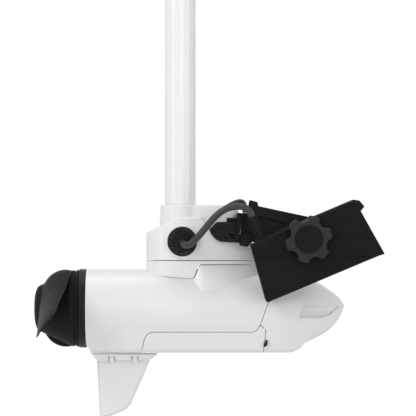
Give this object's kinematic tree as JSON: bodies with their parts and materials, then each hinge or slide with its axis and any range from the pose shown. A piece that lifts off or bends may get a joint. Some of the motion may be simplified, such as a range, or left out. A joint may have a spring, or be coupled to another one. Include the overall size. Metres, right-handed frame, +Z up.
{
  "type": "trolling motor",
  "caption": "Electric trolling motor lower unit: shaft, white pod and barrel, black propeller, skeg and a tilting sonar transducer on a clamp knob.",
  "frame": {"origin": "shaft axis where the shaft leaves the pod", "axes": "+Z up the shaft, +X to the nose, propeller at -X, transducer on the -Y side"},
  "size_m": [0.3689, 0.282, 0.4893],
  "materials": {
    "white_shell": "gloss",
    "white_shaft": "gloss",
    "black_plastic": "fine matte",
    "black_gloss": "satin gloss",
    "black_metal": "satin",
    "rubber": "matte",
    "lead_jacket": "satin",
    "stainless": "satin",
    "bearing_steel": "polished",
    "copper": "enamelled",
    "lamination": "satin",
    "magnet": "plated",
    "board": "satin",
    "zinc": "dull",
    "ceramic": "matte",
    "brass_nut": "satin"
  },
  "bodies": {
    "lower_unit": {"shaft_tube": "white_shaft", "shaft_harness": "rubber", "harness_connector": "black_plastic", "harness_bung": "rubber", "pod_upper_shell": "white_shell", "pod_lower_clamp": "white_shell", "pod_screws": "stainless", "gland_nut": "black_plastic", "gland_seal": "rubber", "motor_housing": "white_shell", "keel_cover": "white_shell", "keel_latch": "black_plastic", "nose_cone": "white_shell", "nose_sonar_element": "ceramic", "rear_end_bell": "black_gloss", "shaft_seal": "rubber", "rear_o_ring": "rubber", "rear_bearing_outer_race": "bearing_steel", "rear_bearing_balls": "bearing_steel", "front_bearing_outer_race": "bearing_steel", "front_bearing_balls": "bearing_steel", "front_bearing_plate": "lamination", "stator_core": "lamination", "stator_windings": "copper", "control_board": "board", "skeg": "white_shell", "skeg_screws": "white_shell", "bracket_base": "black_gloss", "bracket_plate": "black_metal", "bracket_arm": "black_metal", "bracket_bolts": "black_metal", "bracket_pivot_pin": "black_metal", "arm_nut": "brass_nut", "sonar_lead": "lead_jacket", "guide_lead": "lead_jacket"},
    "propeller_assembly": {"propeller": "black_gloss", "drive_shaft": "stainless", "drive_pin": "stainless", "prop_washer": "stainless", "prop_nut": "black_gloss", "hub_anode": "zinc", "rotor_core": "lamination", "rotor_magnets": "magnet", "rear_bearing_inner_race": "bearing_steel", "front_bearing_inner_race": "bearing_steel"},
    "transducer_head": {"transducer_near_shell": "black_plastic", "transducer_far_shell": "black_plastic", "array_window": "rubber", "array_elements": "ceramic", "transducer_board": "board", "transducer_screws": "stainless", "strain_relief_boot": "rubber"},
    "knob_assembly": {"clamp_knob": "black_plastic", "knob_cap": "black_plastic", "knob_bolt": "stainless", "knob_washer": "stainless"}
  },
  "joints": [
    {"name": "propeller_spin", "type": "hinge", "parent": "lower_unit", "child": "propeller_assembly", "pos_m": [-0.12, 0, -0.111], "axis": [1, 0, 0], "continuous": true},
    {"name": "transducer_tilt", "type": "hinge", "parent": "lower_unit", "child": "transducer_head", "pos_m": [0.1338, -0.07, -0.0361], "axis": [0, 1, 0], "range_deg": [-15, 25], "deforming": ["sonar_lead"]},
    {"name": "knob_turn", "type": "hinge", "parent": "lower_unit", "child": "knob_assembly", "pos_m": [0.1338, -0.1, -0.0361], "axis": [0, -1, 0], "range_deg": [0, 540]}
  ]
}
